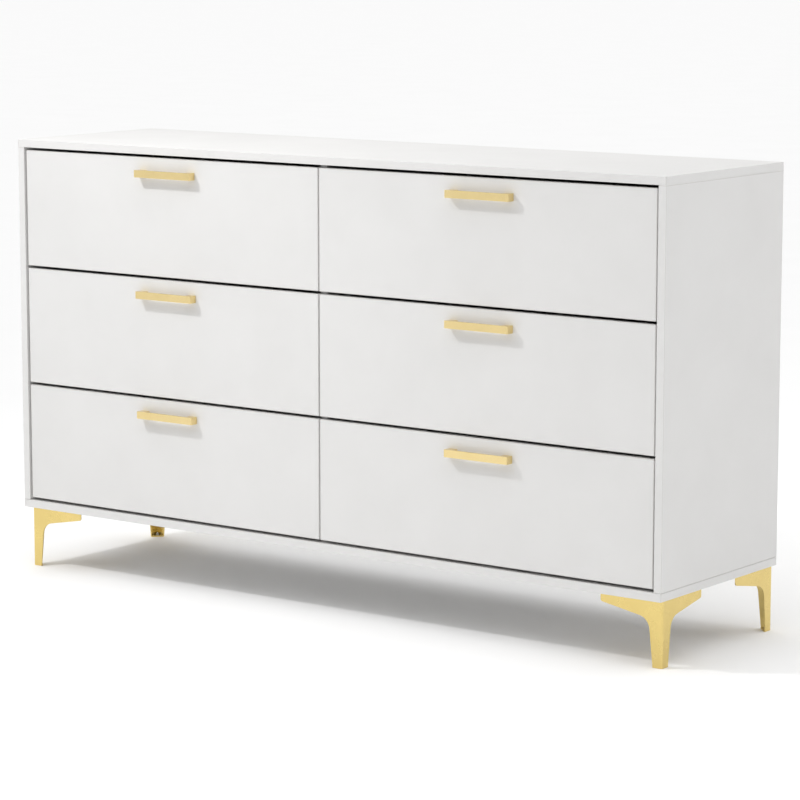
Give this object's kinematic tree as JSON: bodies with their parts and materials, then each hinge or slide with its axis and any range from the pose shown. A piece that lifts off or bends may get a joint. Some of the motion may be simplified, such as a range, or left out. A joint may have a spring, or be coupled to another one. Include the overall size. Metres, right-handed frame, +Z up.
{
  "type": "dresser with drawers",
  "caption": "Low, wide dresser: white slab-front drawers side by side on ball-bearing slides, gold square bar pulls, and tapered corner legs of bent gold plate.",
  "frame": {"origin": "on the floor, under the middle of the whole dresser with its pulls", "axes": "+X to the right of someone facing the drawers, +Z up; the drawers face -Y and slide out along it"},
  "size_m": [1.6, 0.44, 0.916],
  "materials": {
    "white_melamine": "satin",
    "drawer_foil": "satin",
    "white_hardboard": "matte",
    "leg_gold": "satin",
    "pull_gold": "satin",
    "zinc_steel": "satin"
  },
  "bodies": {
    "case": {"top_panel": "white_melamine", "bottom_panel": "white_melamine", "centre_divider": "white_melamine", "left_side_panel": "white_melamine", "left_back_panel": "white_hardboard", "right_side_panel": "white_melamine", "right_back_panel": "white_hardboard", "front_left_leg": "leg_gold", "front_right_leg": "leg_gold", "rear_left_leg": "leg_gold", "rear_right_leg": "leg_gold", "top_left_case_rail_left": "zinc_steel", "top_left_case_rail_right": "zinc_steel", "top_right_case_rail_left": "zinc_steel", "top_right_case_rail_right": "zinc_steel", "middle_left_case_rail_left": "zinc_steel", "middle_left_case_rail_right": "zinc_steel", "middle_right_case_rail_left": "zinc_steel", "middle_right_case_rail_right": "zinc_steel", "bottom_left_case_rail_left": "zinc_steel", "bottom_left_case_rail_right": "zinc_steel", "bottom_right_case_rail_left": "zinc_steel", "bottom_right_case_rail_right": "zinc_steel"},
    "top_left_drawer": {"top_left_drawer_front": "white_melamine", "top_left_box_left_side": "drawer_foil", "top_left_box_right_side": "drawer_foil", "top_left_box_back": "drawer_foil", "top_left_box_bottom": "white_hardboard", "top_left_pull": "pull_gold"},
    "top_right_drawer": {"top_right_drawer_front": "white_melamine", "top_right_box_left_side": "drawer_foil", "top_right_box_right_side": "drawer_foil", "top_right_box_back": "drawer_foil", "top_right_box_bottom": "white_hardboard", "top_right_pull": "pull_gold"},
    "middle_left_drawer": {"middle_left_drawer_front": "white_melamine", "middle_left_box_left_side": "drawer_foil", "middle_left_box_right_side": "drawer_foil", "middle_left_box_back": "drawer_foil", "middle_left_box_bottom": "white_hardboard", "middle_left_pull": "pull_gold"},
    "middle_right_drawer": {"middle_right_drawer_front": "white_melamine", "middle_right_box_left_side": "drawer_foil", "middle_right_box_right_side": "drawer_foil", "middle_right_box_back": "drawer_foil", "middle_right_box_bottom": "white_hardboard", "middle_right_pull": "pull_gold"},
    "bottom_left_drawer": {"bottom_left_drawer_front": "white_melamine", "bottom_left_box_left_side": "drawer_foil", "bottom_left_box_right_side": "drawer_foil", "bottom_left_box_back": "drawer_foil", "bottom_left_box_bottom": "white_hardboard", "bottom_left_pull": "pull_gold"},
    "bottom_right_drawer": {"bottom_right_drawer_front": "white_melamine", "bottom_right_box_left_side": "drawer_foil", "bottom_right_box_right_side": "drawer_foil", "bottom_right_box_back": "drawer_foil", "bottom_right_box_bottom": "white_hardboard", "bottom_right_pull": "pull_gold"}
  },
  "joints": [
    {"name": "top_left_drawer_slide", "type": "slide", "parent": "case", "child": "top_left_drawer", "axis": [0, -1, 0], "range_m": [0, 0.26]},
    {"name": "top_right_drawer_slide", "type": "slide", "parent": "case", "child": "top_right_drawer", "axis": [0, -1, 0], "range_m": [0, 0.26]},
    {"name": "middle_left_drawer_slide", "type": "slide", "parent": "case", "child": "middle_left_drawer", "axis": [0, -1, 0], "range_m": [0, 0.26]},
    {"name": "middle_right_drawer_slide", "type": "slide", "parent": "case", "child": "middle_right_drawer", "axis": [0, -1, 0], "range_m": [0, 0.26]},
    {"name": "bottom_left_drawer_slide", "type": "slide", "parent": "case", "child": "bottom_left_drawer", "axis": [0, -1, 0], "range_m": [0, 0.26]},
    {"name": "bottom_right_drawer_slide", "type": "slide", "parent": "case", "child": "bottom_right_drawer", "axis": [0, -1, 0], "range_m": [0, 0.26]}
  ]
}
